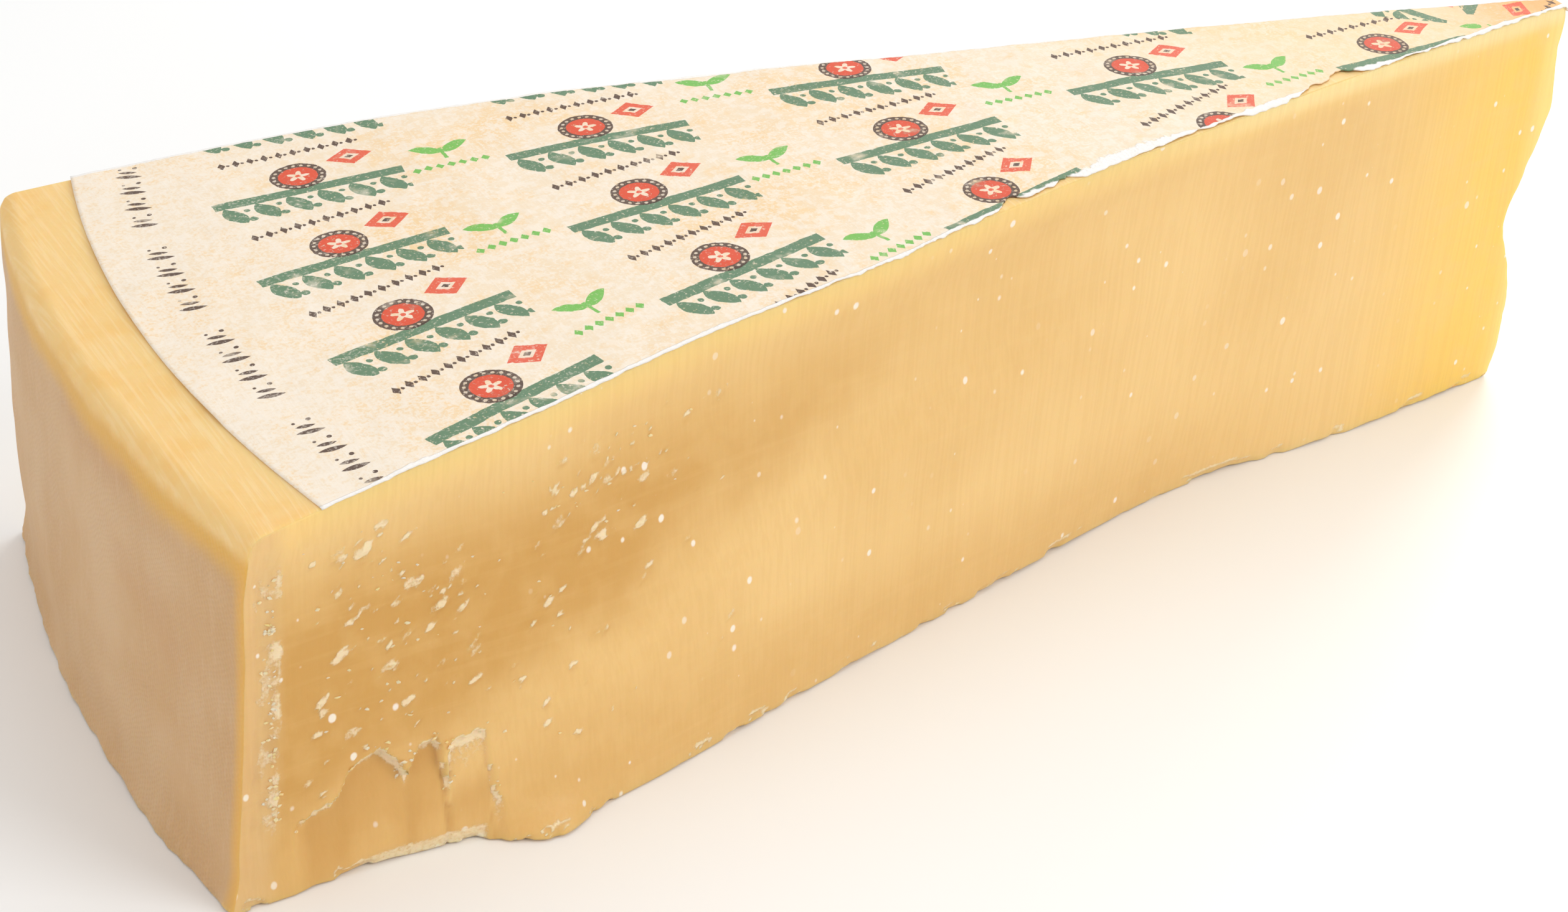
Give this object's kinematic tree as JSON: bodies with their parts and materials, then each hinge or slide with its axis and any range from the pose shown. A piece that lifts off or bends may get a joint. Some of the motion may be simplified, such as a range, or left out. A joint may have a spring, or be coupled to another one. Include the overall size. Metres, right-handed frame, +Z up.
{
  "type": "cheese wedge",
  "caption": "Wedge of hard mountain cheese with natural rind, cut from the upper half of a split wheel, with a paper label on its domed top.",
  "frame": {"origin": "middle of the wedge's footprint, on the level underside where the wheel was split", "axes": "+X along the wedge towards its tip, so the rind faces -X; +Z up, parallel to the wheel's axis; the cut face on the right of someone who looks from the rind to the tip faces -Y"},
  "size_m": [0.3106, 0.1256, 0.084],
  "materials": {
    "cheese": "satin",
    "label_paper": "matte"
  },
  "bodies": {
    "root": {"cheese_wedge": "cheese", "paper_label": "label_paper"}
  },
  "joints": []
}
